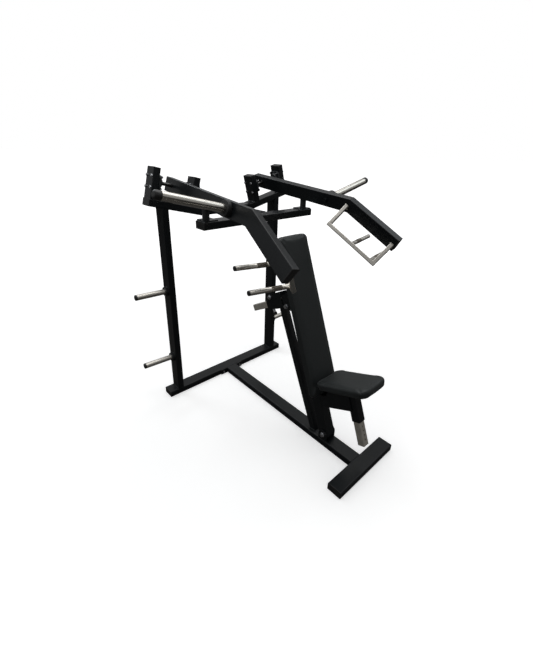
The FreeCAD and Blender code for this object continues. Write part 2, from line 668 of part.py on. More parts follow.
def swinging_sleeve():
    """Sleeve hung from the cradle bolt, with its pop pin underneath."""
    wide = "bar_width + 2 * sleeve_play_side"
    high = "bar_width + 2 * sleeve_play_up"
    shell = box_tube("sleeve_shell", wide, high, "sleeve_wall", "sleeve_length",
                     bar(size.sleeve_start, 0, 0, BAR_BACK), "bar_round")
    half_high = size.bar_width / 2 + size.sleeve_play_up
    half_wide = size.bar_width / 2 + size.sleeve_play_side + size.sleeve_wall
    web = block("hanger_web", "40", "20", "cross_bolt_up - bar_width / 2 - sleeve_play_up"
                " - sleeve_wall", bar(size.cross_bolt_along - 10, half_high + size.sleeve_wall, -20))
    eye = cylinder("hanger_eye", "hanger_radius", str(2 * half_wide),
                   bar(size.cross_bolt_along, size.cross_bolt_up, -half_wide,
                       facing(X_AXIS, Y_AXIS)))
    bore = cylinder("hanger_bore", "pin_radius + running_gap", "through",
                    bar(size.cross_bolt_along, size.cross_bolt_up, -size.through / 2,
                        facing(X_AXIS, Y_AXIS)))
    down = facing(V(0, 0, -1), X_AXIS)
    pin_hole = cylinder("sleeve_pin_hole", "pop_radius + pop_gap", "30",
                        bar(size.adjuster_pin_along, 10 - half_high, 0, down))
    body = join("sleeve_body", [shell, web, eye])
    node("adjuster_sleeve", cut("adjuster_sleeve", body, join("sleeve_cuts", [bore, pin_hole])))
    face = bar(size.adjuster_pin_along, -half_high - size.sleeve_wall, 0, down)
    pop_pin("adjuster", face, size.sleeve_wall + size.sleeve_play_up)


def pop_pin(prefix, face, reach):
    """Spring pin: a barrel outside a wall, and a plunger through it with a pull knob."""
    barrel = cylinder(prefix + "_barrel", "pop_body_radius", "pop_body_length", face)
    bore = cylinder(prefix + "_barrel_bore", "pop_radius + pop_gap", "pop_body_length + 2",
                    face * at(0, 0, -1))
    node(prefix + "_pin_housing", cut(prefix + "_pin_housing", barrel, bore))
    depth = reach - size.pop_nose_gap
    stem = cylinder(prefix + "_stem", "pop_radius",
                    str(depth) + " + pop_body_length + pop_knob_length / 2",
                    face * at(0, 0, -depth))
    knob = cylinder(prefix + "_knob_blank", "pop_knob_radius", "pop_knob_length",
                    face * at(0, 0, size.pop_body_length))
    rounded = soften(prefix + "_knob_round", knob, "pop_knob_round", lambda e: not straight(e))
    node(prefix + "_pin", join(prefix + "_pin", [stem, rounded]))


def adjusting_bar():
    """Raw square tube with a knuckle below its front end and pin holes underneath."""
    start = bar(-size.bar_nose, 0, 0, BAR_BACK)
    shaft = tube("bar_tube", "bar_width", "bar_width", "bar_wall", "bar_length", start,
                 "bar_round")
    across = facing(X_AXIS, Y_AXIS)
    half = size.bar_width / 2
    disc = cylinder("knuckle_disc", "knuckle_radius", "bar_width", bar(0, -size.bar_rise, -half,
                                                                       across))
    web = block("knuckle_web", "bar_width", "2 * knuckle_radius - 4", "bar_rise - bar_width / 2",
                bar(2 - size.knuckle_radius, -size.bar_rise, -half))
    eye = cylinder("knuckle_eye", "pin_radius + running_gap", "through",
                   bar(0, -size.bar_rise, -size.through / 2, across))
    down = facing(V(0, 0, -1), X_AXIS)
    holes = [cylinder(f"bar_hole{i}", "bar_hole_radius", "20",
                      bar(size.adjuster_pin_along + i * size.bar_pitch, 10 - half, 0, down))
             for i in range(6)]
    body = join("bar_body", [shaft, disc, web])
    node("adjusting_bar", cut("adjusting_bar", body, join("bar_cuts", [eye] + holes)))


def backrest_post():
    """Square post on the bench pivot, with its bush and the ears for the adjusting bar."""
    half = size.spine_width / 2
    shaft = tube("spine_tube", "spine_width", "spine_width", "spine_wall",
                 "spine_length + spine_tail", bench(0, -size.spine_tail, 0, BENCH_UP),
                 "spine_round")
    across = facing(X_AXIS, Y_AXIS)
    bush = cylinder("pivot_bush", "bush_radius", "spine_width", bench(0, 0, -half, across))
    reach = "ear_rear - spine_width / 2"
    outline = [("-ear_radius + 1", "-2"), ("0", "-ear_radius"), (reach, "-ear_bottom"),
               (reach, "ear_top"), ("-ear_back", "ear_shoulder")]
    pieces = [shaft, bush]
    inner = size.bar_width / 2 + size.ear_gap
    for i, x in enumerate((inner + size.ear_thick, -inner)):
        place = bench(-size.ear_rear, size.ear_up, x, facing(V(-1, 0, 0), V(0, -1, 0)))
        pieces.append(pad(f"ear{i}", [outline], "ear_thick", place))
        pieces.append(cylinder(f"ear_disc{i}", "ear_radius", "ear_thick", place))
    middle = -size.through / 2
    eye = cylinder("ear_eye", "pin_radius", "through",
                   bench(-size.ear_rear, size.ear_up, middle, across))
    bore = cylinder("pivot_bore", "pin_radius + running_gap", "through",
                    bench(0, 0, middle, across))
    body = join("spine_body", pieces)
    node("backrest_post", cut("backrest_post", body, join("spine_cuts", [eye, bore])))
    node("bar_bolt", cross_bolt("bar_bolt", bench(-size.ear_rear, size.ear_up),
                                inner + size.ear_thick))


def clevis():
    """Two round-topped plates on the central beam and the bench's pivot bolt."""
    inner = size.spine_width / 2 + size.clevis_gap
    plates = []
    for i, x in enumerate((inner, -inner - size.clevis_thick)):
        slab = block(f"clevis_slab{i}", "clevis_thick", "2 * clevis_radius",
                     "bench_rise - tube_narrow",
                     at(x, -size.bench_reach - size.clevis_radius, size.tube_narrow))
        crown = cylinder(f"clevis_crown{i}", "clevis_radius", "clevis_thick",
                         at(x, -size.bench_reach, size.bench_rise, facing(X_AXIS, Y_AXIS)))
        plates.append(join(f"clevis_plate{i}", [slab, crown]))
    eye = cylinder("clevis_eye", "pin_radius", "through",
                   at(-size.through / 2, -size.bench_reach, size.bench_rise,
                      facing(X_AXIS, Y_AXIS)))
    halves = [cut(f"clevis_half{i}", plate, eye) for i, plate in enumerate(plates)]
    node("pivot_clevis", group("pivot_clevis", halves))
    node("pivot_bolt", cross_bolt("pivot_bolt", at(0, -size.bench_reach, size.bench_rise),
                                  inner + size.clevis_thick))


def slab_corner(edge, half_x, half_y):
    middle = edge.CenterOfMass
    return straight(edge) and abs(abs(middle.x) - half_x) < 0.1 and abs(abs(middle.y) - half_y) < 0.1


def cushion(name, width, depth, thick, corner, placement):
    """Flat slab with rounded corners, its own Z across its thickness."""
    body = pad(name, [rectangle(width, depth)], thick, placement)
    shape = body.Shape.copy()
    shape.Placement = at(0, 0, 0)
    half_x, half_y = shape.BoundBox.XMax, shape.BoundBox.YMax
    return round_edges(body, corner, lambda e: slab_corner(e, half_x, half_y))


def upholstery(name, width, depth, thick, corner, placement):
    """Backing board and the pad that wraps its sides; the board lies at own Z = 0."""
    inset, slack = " - 2 * board_inset", " - 2 * board_inset + 2 * board_gap"
    board = cushion(name + "_board", width + inset, depth + inset, "board_thick",
                    corner + " - board_inset", placement)
    recess = cushion(name + "_recess", width + slack, depth + slack, "board_thick",
                     corner + " - board_inset", placement)
    slab = cushion(name + "_slab", width, depth, thick, corner, placement)
    node(name + "_board", board)
    node(name + "_pad", cut(name + "_pad", slab, recess))


def backrest_pad():
    upholstery("backrest", "pad_width", "pad_length", "back_thick", "pad_corner",
               bench(size.spine_width / 2, size.pad_start + size.pad_length / 2, 0,
                     BENCH_FORWARD))


def seat():
    """Straps and sleeve on the post; seat tube, board and pad that slide together."""
    sleeve_half = size.seat_sleeve_width / 2
    outline = [("spine_width / 2", "strap_low_rear"), ("strap_reach", "strap_low_front"),
               ("strap_reach", "strap_high"), ("strap_notch + strap_rise", "strap_high"),
               ("strap_notch", "pad_start - strap_gap"),
               ("spine_width / 2", "pad_start - strap_gap")]
    straps = []
    for i, x in enumerate((-size.strap_offset - size.strap_thick / 2,
                           size.strap_offset - size.strap_thick / 2)):
        straps.append(pad(f"strap{i}", [outline], "strap_thick",
                          bench(0, 0, x + size.strap_thick, facing(V(-1, 0, 0), V(0, -1, 0)))))
    node("seat_straps", group("seat_straps", straps))
    inner = "seat_sleeve_width - 2 * seat_sleeve_wall"
    shell = box_tube("seat_shell", inner, inner, "seat_sleeve_wall",
                     "seat_sleeve_high - seat_sleeve_low",
                     bench(size.seat_axis, size.seat_sleeve_low, 0, BENCH_UP), "bar_round")
    back = facing(Y_AXIS, X_AXIS)
    pin_up = size.first_hole + size.seat_pin_step * size.hole_pitch
    pin_hole = cylinder("seat_sleeve_hole", "pop_radius + pop_gap", "20",
                        bench(size.seat_axis - sleeve_half + 10, pin_up, 0, back))
    node("seat_sleeve", cut("seat_sleeve", shell, pin_hole))
    face = bench(size.seat_axis - sleeve_half, pin_up, 0, back)
    pop_pin("seat", face, size.seat_sleeve_wall + 0.1)
    shaft = tube("seat_shaft", "seat_tube_width", "seat_tube_width", "seat_tube_wall",
                 "seat_low - mount_thick - seat_tube_low",
                 bench(size.seat_axis, size.seat_tube_low, 0, BENCH_UP), "bar_round")
    holes = [cylinder(f"seat_hole{i}", "hole_radius", "80",
                      bench(size.seat_axis + 40, size.first_hole + i * size.hole_pitch, 0, back))
             for i in range(int(size.hole_count))]
    drilled = cut("seat_drilled", shaft, join("seat_holes", holes))
    side = size.mount_side / 2
    plate = block("seat_mount", "mount_side", "mount_side", "mount_thick",
                  bench(size.seat_axis + side, size.seat_low - size.mount_thick, -side))
    node("seat_tube", join("seat_tube", [drilled, plate]))
    upholstery("seat", "pad_width", "seat_depth", "seat_thick", "seat_corner",
               bench(size.seat_rear + size.seat_depth / 2, size.seat_low, 0, BENCH_UP))


# ---------------------------------------------------------------- press arms

def arm_point(sign, reach, up, aside=0.0):
    """Placement on an arm's upper run: its own X points left, -Y along the arm."""
    slope = math.radians(size.arm_slope)
    tip = head(sign, size.arm_lateral + aside, reach,
               size.axle_rise - reach * math.tan(slope))
    return tip * at(0, 0, 0, FreeCAD.Rotation(X_AXIS, size.arm_slope)) * at(0, 0, up)


def arm_lower(sign, reach, up, aside=0.0):
    """Placement on an arm's lower run, measured from the bend."""
    bend = arm_point(sign, size.arm_bend_reach, 0, aside)
    turn = FreeCAD.Rotation(X_AXIS, size.arm_lower_slope - size.arm_slope)
    return bend * at(0, 0, 0, turn) * at(0, -reach, up)


def press_arm(side, sign):
    """One bent arm with its axle, weight horn, plugs and handle."""
    along = facing(V(0, -1, 0), Z_AXIS)
    run = (size.arm_tail + size.arm_bend_reach) / math.cos(math.radians(size.arm_slope))
    start = arm_point(sign, 0, 0) * at(0, size.arm_tail, 0, along)
    upper = tube(side + "_arm_upper", "tube_wide", "tube_narrow", WALL, f"{run} + overrun", start)
    lower = tube(side + "_arm_lower", "tube_wide", "tube_narrow", WALL,
                 "arm_lower_length + overrun",
                 arm_lower(sign, -size.overrun, 0) * at(0, 0, 0, along))
    half_turn = FreeCAD.Rotation(X_AXIS, (size.arm_lower_slope - size.arm_slope) / 2)
    mitre = arm_point(sign, size.arm_bend_reach, 0) * at(0, 0, 0, half_turn)
    ahead = beyond(side + "_mitre_ahead", mitre * at(0, 0, 0, along))
    behind = beyond(side + "_mitre_behind", mitre * at(0, 0, 0, facing(Y_AXIS, X_AXIS)))
    welded = join(side + "_arm_welded", [cut(side + "_arm_rear", upper, ahead),
                                         cut(side + "_arm_front", lower, behind)])
    across = facing(V(sign, 0, 0), Y_AXIS)
    inward = facing(V(-sign, 0, 0), Y_AXIS)
    axle_start = size.tube_narrow + 2
    seat_hole = cylinder(side + "_axle_hole", "axle_radius", "axle_length",
                         head(sign, axle_start, 0, size.axle_rise, inward))
    horn_face = arm_point(sign, size.horn_reach, 0, -HALF_NARROW) * at(0, 0, 0, across)
    bolt_hole = cylinder(side + "_horn_hole", "horn_bolt_radius", "through",
                         horn_face * at(0, 0, -size.through + size.past))
    node(side + "_arm", cut(side + "_arm", welded, join(side + "_arm_holes",
                                                       [seat_hole, bolt_hole])))
    node(side + "_axle", cylinder(side + "_axle", "axle_radius", "axle_length",
                                  head(sign, axle_start, 0, size.axle_rise, inward)))
    weight_horn(side, horn_face)
    front = arm_lower(sign, size.arm_lower_length, 0) * at(0, 0, 0, along)
    rear = start * at(0, 0, 0, FreeCAD.Rotation(X_AXIS, 180))
    tip = horn_face * at(0, 0, size.horn_length)
    caps = [end_plug(side + "_front_plug", front), end_plug(side + "_rear_plug", rear),
            pipe_plug(side + "_horn_plug", "horn_radius", "horn_radius - horn_wall",
                      "horn_cap_length", tip, "horn_cap_round")]
    node(side + "_arm_caps", group(side + "_arm_caps", caps))
    handle(side, sign)


def weight_horn(side, face):
    """Weight horn with a tapped base, its collar, and the bolt through the arm."""
    rod = join(side + "_horn_turned",
               [cylinder(side + "_horn_rod", "horn_radius", "horn_length - horn_spigot",
                         face * at(0, 0, size.horn_spigot)),
                cylinder(side + "_horn_spigot", "horn_spigot_radius", "horn_spigot", face)])
    hollow = cylinder(side + "_horn_hollow", "horn_radius - horn_wall", "horn_length",
                      face * at(0, 0, size.horn_base))
    thread = cylinder(side + "_horn_thread", "horn_bolt_radius", "through",
                      face * at(0, 0, -size.past))
    node(side + "_weight_horn", cut(side + "_weight_horn", rod,
                                    join(side + "_horn_cuts", [hollow, thread])))
    disc = cylinder(side + "_collar_disc", "horn_collar_radius", "horn_collar_thick", face)
    ring = cylinder(side + "_collar_eye", "horn_spigot_radius", "through",
                    face * at(0, 0, -size.past))
    rounded = soften(side + "_collar_round", disc, "horn_collar_round", lambda e: not straight(e))
    node(side + "_horn_collar", cut(side + "_horn_collar", rounded, ring))
    inner = face * at(0, 0, -size.tube_narrow)
    flange = cylinder(side + "_horn_flange", "washer_radius", "washer_thick",
                      inner * at(0, 0, -size.washer_thick))
    shank = cylinder(side + "_horn_shank", "horn_bolt_radius",
                     "tube_narrow + horn_bolt_grip", inner)
    hexed = hexagon(side + "_horn_hex", "horn_bolt_head", "horn_bolt_height",
                    inner * at(0, 0, -size.washer_thick - size.horn_bolt_height))
    node(side + "_horn_bolt", join(side + "_horn_bolt", [flange, shank, hexed]))


def handle(side, sign):
    """U-shaped handle frame under an arm's lower run, with two grips and their plugs."""
    face = arm_lower(sign, size.handle_start, -size.handle_drop, HALF_NARROW)
    angle = math.radians(size.handle_angle)
    leg_way = V(-sign * math.cos(angle), 0, -math.sin(angle))
    forward = V(0, -1, 0)
    half = size.handle_bar / 2
    spread = size.handle_end - size.handle_start
    leg_turn = facing(leg_way, forward)
    bars = []
    for i, along in enumerate((0, spread)):
        leg = pad(f"{side}_leg{i}", [rectangle("handle_bar", "handle_bar")], "handle_leg + overrun",
                  face * at(0, -along, 0) * FreeCAD.Placement(leg_way * -size.overrun, leg_turn))
        round_edges(leg, "handle_round", lambda e: outer_corner_edge(e, half, half))
        bars.append(leg)
    bar_turn = facing(forward, leg_way)
    corner = FreeCAD.Placement(leg_way * size.handle_leg, FreeCAD.Rotation())
    long_bar = pad(side + "_long_bar", [rectangle("handle_bar", "handle_bar")],
                   "handle_end - handle_start + handle_bar",
                   face * corner * at(0, half, 0, bar_turn))
    round_edges(long_bar, "handle_round", lambda e: outer_corner_edge(e, half, half))
    bars.append(long_bar)
    trim = beyond(side + "_handle_trim",
                  arm_lower(sign, 0, 0, HALF_NARROW) * at(0, 0, 0, facing(V(sign, 0, 0), Y_AXIS)))
    node(side + "_handle_frame", cut(side + "_handle_frame", join(side + "_handle_bars", bars),
                                     trim))
    sweep, droop = math.radians(size.grip_sweep), math.radians(size.grip_droop)
    way = V(sign * math.cos(droop) * math.cos(sweep), math.cos(droop) * math.sin(sweep),
            -math.sin(droop))
    way = head(sign, 0, 0, 0).Rotation.multVec(way)
    grips, plugs = [], []
    for i, fraction in enumerate((size.grip_first, size.grip_second)):
        start = (face * corner * at(0, -fraction * spread, 0)).Base
        turn = facing(way, V(0, 1, 0))
        place = FreeCAD.Placement(start, turn)
        name = f"{side}_grip{i}"
        blank = pipe(name, "grip_radius", "grip_wall", "grip_length", place)
        notch = pad(name + "_notch", [rectangle("handle_bar", "handle_bar")],
                    "handle_end - handle_start + handle_bar",
                    face * corner * at(0, half, 0, bar_turn))
        far_side = cut(name + "_trimmed", blank, notch)
        grips.append(far_side)
        plugs.append(pipe_plug(name + "_plug", "grip_radius", "grip_radius - grip_wall",
                               "grip_plug_length", place * at(0, 0, size.grip_length)))
    node(side + "_grips", group(side + "_grips", grips))
    node(side + "_grip_plugs", group(side + "_grip_plugs", plugs))


# ---------------------------------------------------------------- build, check and write

def write_parts():
    doc.recompute()
    for thing in doc.Objects:
        if "Invalid" in thing.State or "Error" in thing.State:
            raise RuntimeError(f"{thing.Name} did not compute: {thing.State}")
    for name, thing in NODES.items():
        shape = thing.Shape
        if shape.isNull() or not shape.isValid() or not shape.Solids:
            raise RuntimeError(f"{name} is not a valid solid")
    for name, thing in NODES.items():
        thing.Shape.exportStep(f"parts/{name}.step")
        print(name, len(thing.Shape.Solids), round(thing.Shape.Volume))


base_frame()
uprights()
head_beams()
bearings()
stop_frame()
storage()
tube_plugs()
rear_stay()
cradle()
clevis()
swinging_sleeve()
adjusting_bar()
backrest_post()
backrest_pad()
seat()
for arm_side, arm_sign in SIDES.items():
    press_arm(arm_side, arm_sign)
write_parts()
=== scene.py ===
import json
import math

import bmesh
import bpy
from mathutils import Matrix, Vector


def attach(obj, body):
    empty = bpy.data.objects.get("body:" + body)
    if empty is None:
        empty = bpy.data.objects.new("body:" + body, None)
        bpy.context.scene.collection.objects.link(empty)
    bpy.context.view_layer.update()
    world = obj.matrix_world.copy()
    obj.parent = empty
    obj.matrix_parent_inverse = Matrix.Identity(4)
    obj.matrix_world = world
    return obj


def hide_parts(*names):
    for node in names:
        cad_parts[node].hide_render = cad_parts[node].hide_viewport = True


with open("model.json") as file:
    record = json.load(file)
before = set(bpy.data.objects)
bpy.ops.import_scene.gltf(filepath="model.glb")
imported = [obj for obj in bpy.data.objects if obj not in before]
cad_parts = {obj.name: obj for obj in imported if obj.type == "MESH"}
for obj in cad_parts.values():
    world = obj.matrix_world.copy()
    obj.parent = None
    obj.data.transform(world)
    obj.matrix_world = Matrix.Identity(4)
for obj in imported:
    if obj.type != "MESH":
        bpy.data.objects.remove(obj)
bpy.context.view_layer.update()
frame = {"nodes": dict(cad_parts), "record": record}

NODES = frame["nodes"]
SLOT_OF = {row["node"]: row["material_slot"] for row in frame["record"]["subparts"]}

# ---------------------------------------------------------------- material building


class Shader:
    """A node material with short calls for the few nodes this file needs."""

    def __init__(self, name):
        self.material = bpy.data.materials.new(name)
        self.material.use_nodes = True
        self.tree = self.material.node_tree
        self.tree.nodes.clear()
        self.output = self.add("ShaderNodeOutputMaterial")
        self.surface = self.add("ShaderNodeBsdfPrincipled")
        self.link(self.surface, "BSDF", self.output, "Surface")
        self.place = self.add("ShaderNodeTexCoord")

    def add(self, kind, **settings):
        made = self.tree.nodes.new(kind)
        for key, value in settings.items():
            setattr(made, key, value)
        return made

    def link(self, source, output, target, name):
        self.tree.links.new(source.outputs[output], target.inputs[name])

    def put(self, target, name, value):
        """Sets an input to a number or colour, or links it from (node, output)."""
        if isinstance(value, tuple) and not isinstance(value[0], (int, float)):
            self.link(value[0], value[1], target, name)
        else:
            target.inputs[name].default_value = value

    def mapped(self, stretch, turned_by=(0, 0, 0)):
        """Object coordinates, turned and then stretched."""
        turned = self.add("ShaderNodeVectorRotate", rotation_type="EULER_XYZ", invert=True)
        turned.inputs["Rotation"].default_value = turned_by
        self.link(self.place, "Object", turned, "Vector")
        scaled = self.add("ShaderNodeVectorMath", operation="MULTIPLY")
        scaled.inputs[1].default_value = stretch
        self.link(turned, "Vector", scaled, 0)
        return (scaled, "Vector")

    def noise(self, scale, detail, rough=0.55, vector=None):
        """Cloudy noise; more detail adds finer layers, and rough makes them stronger."""
        made = self.add("ShaderNodeTexNoise")
        made.inputs["Scale"].default_value = scale
        made.inputs["Detail"].default_value = detail
        made.inputs["Roughness"].default_value = rough
        self.put(made, "Vector", vector or (self.place, "Object"))
        return (made, "Fac")

    def cells(self, scale, vector=None, smooth=None):
        """Distance from the middles of random cells, blended between cells if smooth is given."""
        made = self.add("ShaderNodeTexVoronoi", feature="SMOOTH_F1" if smooth else "F1")
        made.inputs["Scale"].default_value = scale
        if smooth:
            made.inputs["Smoothness"].default_value = smooth
        self.put(made, "Vector", vector or (self.place, "Object"))
        return (made, "Distance")

    def spread(self, value, low, high, to_low=0.0, to_high=1.0):
        """Maps low..high to to_low..to_high, clamped."""
        made = self.add("ShaderNodeMapRange", clamp=True)
        self.put(made, "Value", value)
        for name, number in zip(("From Min", "From Max", "To Min", "To Max"),
                                (low, high, to_low, to_high)):
            made.inputs[name].default_value = number
        return (made, "Result")

    def maths(self, operation, first, second):
        made = self.add("ShaderNodeMath", operation=operation)
        for index, value in enumerate((first, second)):
            if isinstance(value, tuple):
                self.tree.links.new(value[0].outputs[value[1]], made.inputs[index])
            else:
                made.inputs[index].default_value = value
        return (made, "Value")

    def mix(self, factor, first, second):
        """Colour between first and second."""
        made = self.add("ShaderNodeMix", data_type="RGBA")
        self.put(made, "Factor", factor)
        for slot, value in (("A", first), ("B", second)):
            socket = next(s for s in made.inputs if s.name == slot and s.type == "RGBA")
            if isinstance(value, tuple) and not isinstance(value[0], (int, float)):
                self.tree.links.new(value[0].outputs[value[1]], socket)
            else:
                socket.default_value = value
        result = next(i for i, s in enumerate(made.outputs) if s.type == "RGBA")
        return (made, result)

    def bump(self, height, strength, distance, normal=None):
        made = self.add("ShaderNodeBump")
        made.inputs["Strength"].default_value = strength
        made.inputs["Distance"].default_value = distance
        self.put(made, "Height", height)
        if normal:
            self.put(made, "Normal", normal)
        return (made, "Normal")

    def soft_edges(self, radius):
        """Normal rounded over hard edges."""
        made = self.add("ShaderNodeBevel", samples=4)
        made.inputs["Radius"].default_value = radius
        return (made, "Normal")

    def finish(self, **values):
        """Sets the surface's own inputs, named with _ for a space, and gives the material."""
        for name, value in values.items():
            self.put(self.surface, name.replace("_", " "), value)
        return self.material


def grey(value):
    return (value, value, value, 1.0)


def powder_coat():
    """Satin black powder coat with orange peel and a little settled dust."""
    s = Shader("black_powder_coat")
    cloud = s.noise(3.0, 2.0)
    peel = s.noise(900.0, 2.0, 0.6)
    dust = s.spread(s.noise(14.0, 5.0, 0.7), 0.55, 0.8)
    dark, light = (0.0046, 0.0062, 0.0076, 1), (0.0070, 0.0088, 0.0102, 1)
    base = s.mix(s.spread(cloud, 0.3, 0.7), dark, light)
    base = s.mix(s.maths("MULTIPLY", dust, 0.06), base, (0.035, 0.035, 0.034, 1))
    rough = s.maths("ADD", s.spread(peel, 0.3, 0.7, 0.27, 0.36), s.maths("MULTIPLY", dust, 0.06))
    normal = s.bump(peel, 0.16, 0.0004, s.soft_edges(0.0012))
    return s.finish(Base_Color=base, Roughness=rough, Normal=normal, Specular_IOR_Level=0.42)


def brushed(name, tint, rough, turned_by=(0, 0, 0)):
    """Metal with fine scratches along its own length and a faint unevenness."""
    s = Shader(name)
    scratches = (3, 420, 420)           # how many there are in a metre along X, Y and Z
    grain = s.noise(1.0, 3.0, 0.5, s.mapped(scratches, turned_by))
    cloud = s.noise(9.0, 3.0)
    light, dark = [tuple(c * k for c in tint) + (1.0,) for k in (1.04, 0.93)]
    base = s.mix(s.spread(grain, 0.35, 0.65), dark, light)
    base = s.mix(s.maths("MULTIPLY", s.spread(cloud, 0.45, 0.75), 0.08), base,
                 tuple(c * 0.78 for c in tint) + (1.0,))
    roughness = s.maths("ADD", s.spread(grain, 0.3, 0.7, rough - 0.02, rough + 0.03),
                        s.spread(cloud, 0.4, 0.8, 0.0, 0.03))
    normal = s.bump(grain, 0.02, 0.0001, s.soft_edges(0.0008))
    return s.finish(Base_Color=base, Roughness=roughness, Metallic=1.0, Normal=normal,
                    Anisotropic=0.3)


def knurled():
    """Rolled steel coloured much darker than the plain grips, as painted shade of its grooves, and
    mottled by noise.
    """
    s = Shader("knurled_steel")
    knurl_mottle = s.noise(240.0, 4.0, 0.65)
    cloud = s.noise(40.0, 3.0)
    # painted shade: both colours are far darker than the grips' own steel, mottled by noise that
    # does not follow the grooves
    base = s.mix(s.spread(knurl_mottle, 0.35, 0.68), (0.300, 0.275, 0.240, 1), (0.150, 0.135, 0.115, 1))
    rough = s.spread(cloud, 0.3, 0.75, 0.38, 0.52)
    return s.finish(Base_Color=base, Roughness=rough, Metallic=1.0,
                    Normal=s.bump(knurl_mottle, 0.1, 0.0002))


def bare_steel():
    """Unpainted steel with a dull cloudy surface."""
    s = Shader("bare_steel")
    cloud = s.noise(18.0, 5.0, 0.65)
    grain = s.noise(420.0, 3.0, 0.6)
    base = s.mix(s.spread(cloud, 0.35, 0.7), (0.74, 0.705, 0.63, 1), (0.54, 0.515, 0.46, 1))
    rough = s.spread(s.maths("ADD", cloud, s.maths("MULTIPLY", grain, 0.4)), 0.4, 1.0, 0.42, 0.62)
    normal = s.bump(grain, 0.18, 0.0003, s.soft_edges(0.001))
    return s.finish(Base_Color=base, Roughness=rough, Metallic=0.75, Normal=normal)


def zinc(name, light, dark, rough):
    """Zinc plating with a faint spangle; given dark colours it makes a darkened copy that is
    painted shade.
    """
    s = Shader(name)
    spangle = s.cells(260.0)
    cloud = s.noise(60.0, 3.0)
    base = s.mix(s.spread(spangle, 0.1, 0.7), light, dark)
    normal = s.bump(cloud, 0.12, 0.0003, s.soft_edges(0.0008))
    return s.finish(Base_Color=base, Roughness=s.spread(cloud, 0.3, 0.7, rough, rough + 0.14),
                    Metallic=1.0, Normal=normal)


def moulded(name, value, rough, scale=1100.0, depth=0.2):
    """Moulded plastic or rubber with a fine spark-eroded grain."""
    s = Shader(name)
    grain = s.cells(scale)
    cloud = s.noise(25.0, 3.0)
    base = s.mix(s.spread(cloud, 0.35, 0.7), grey(value), grey(value * 1.6))
    roughness = s.spread(cloud, 0.3, 0.75, rough - 0.05, rough + 0.08)
    normal = s.bump(grain, depth, 0.0003, s.soft_edges(0.0012))
    return s.finish(Base_Color=base, Roughness=roughness, Normal=normal)


def cast():
    """Painted cast iron of the flange bearings."""
    s = Shader("bearing_iron")
    grain = s.noise(320.0, 5.0, 0.7)
    cloud = s.noise(30.0, 3.0)
    base = s.mix(s.spread(cloud, 0.35, 0.7), (0.014, 0.016, 0.018, 1), (0.024, 0.026, 0.028, 1))
    normal = s.bump(grain, 0.5, 0.0006, s.soft_edges(0.0015))
    return s.finish(Base_Color=base, Roughness=s.spread(grain, 0.3, 0.7, 0.42, 0.6), Normal=normal)


def board():
    """Dark stained board behind the pads, with its fibres along the bench."""
    s = Shader("pad_board")
    fibre = s.noise(1.0, 4.0, 0.6, s.mapped((60, 900, 60)))
    base = s.mix(s.spread(fibre, 0.35, 0.7), (0.010, 0.0095, 0.009, 1), (0.024, 0.021, 0.018, 1))
    return s.finish(Base_Color=base, Roughness=0.72, Normal=s.bump(fibre, 0.3, 0.0004))


def vinyl():
    """Upholstery vinyl: pebbled grain, soft creases and a dull satin sheen."""
    s = Shader("pad_vinyl")
    warp = s.noise(160.0, 2.0)
    shifted = s.add("ShaderNodeCombineXYZ")
    for axis in "XYZ":
        s.put(shifted, axis, s.maths("MULTIPLY", warp, 0.0012))
    bent = s.add("ShaderNodeVectorMath", operation="ADD")
    s.link(s.place, "Object", bent, 0)
    s.link(shifted, "Vector", bent, 1)
    grain = s.cells(620.0, (bent, "Vector"), 0.6)
    crease = s.noise(38.0, 4.0, 0.6)
    cloud = s.noise(5.0, 3.0)
    valley = s.spread(grain, 0.35, 0.75)
    dark, light = (0.0125, 0.0168, 0.0175, 1), (0.0165, 0.0208, 0.0215, 1)
    base = s.mix(s.spread(cloud, 0.3, 0.7), dark, light)
    # painted shade: the grain's valleys are darkened in colour; the same mask also makes them
    # rougher
    base = s.mix(s.maths("MULTIPLY", valley, 0.5), base, (0.006, 0.0065, 0.007, 1))
    rough = s.maths("ADD", s.spread(cloud, 0.3, 0.7, 0.40, 0.47), s.maths("MULTIPLY", valley, 0.12))
    folds = s.bump(crease, 0.08, 0.002)
    normal = s.bump(grain, 0.35, -0.0004, folds)
    return s.finish(Base_Color=base, Roughness=rough, Normal=normal, Sheen_Weight=0.06,
                    Specular_IOR_Level=0.45)


STEEL_TINT = (0.78, 0.75, 0.69)
TILT = math.radians(14)                # the pivot heads tip down towards the middle
MATERIALS = {
    "black_powder_coat": powder_coat(),
    "black_plastic": moulded("black_plastic", 0.012, 0.42),
    "zinc_plate": zinc("zinc_plate", (0.80, 0.81, 0.83, 1), (0.62, 0.63, 0.66, 1), 0.22),
    "pin_steel": moulded("pin_knob", 0.014, 0.38),
    "bearing_iron": cast(),
    "black_rubber": moulded("black_rubber", 0.012, 0.62, 700.0, 0.3),
    "stainless": brushed("stainless", STEEL_TINT, 0.30),
    "bare_steel": bare_steel(),
    "axle_steel": brushed("axle_steel", (0.10, 0.10, 0.10), 0.32),
    "pad_board": board(),
    "pad_vinyl": vinyl(),
}
KNURLED_STEEL = knurled()
# painted shade: a darkened copy of the zinc plate, for the nuts that sit in shade beside the
# bearings
SHADED_ZINC = zinc("painted_shade_nut", (0.060, 0.062, 0.066, 1), (0.035, 0.036, 0.040, 1), 0.34)
OWN_MATERIALS = {
    "left_weight_horn": brushed("left_horn_steel", STEEL_TINT, 0.24, (0, -TILT, 0)),
    "right_weight_horn": brushed("right_horn_steel", STEEL_TINT, 0.24, (0, TILT, 0)),
}


def paint(thing, material):
    thing.data.materials.clear()
    thing.data.materials.append(material)
    for face in thing.data.polygons:
        face.material_index = 0


# ---------------------------------------------------------------- places, in metres

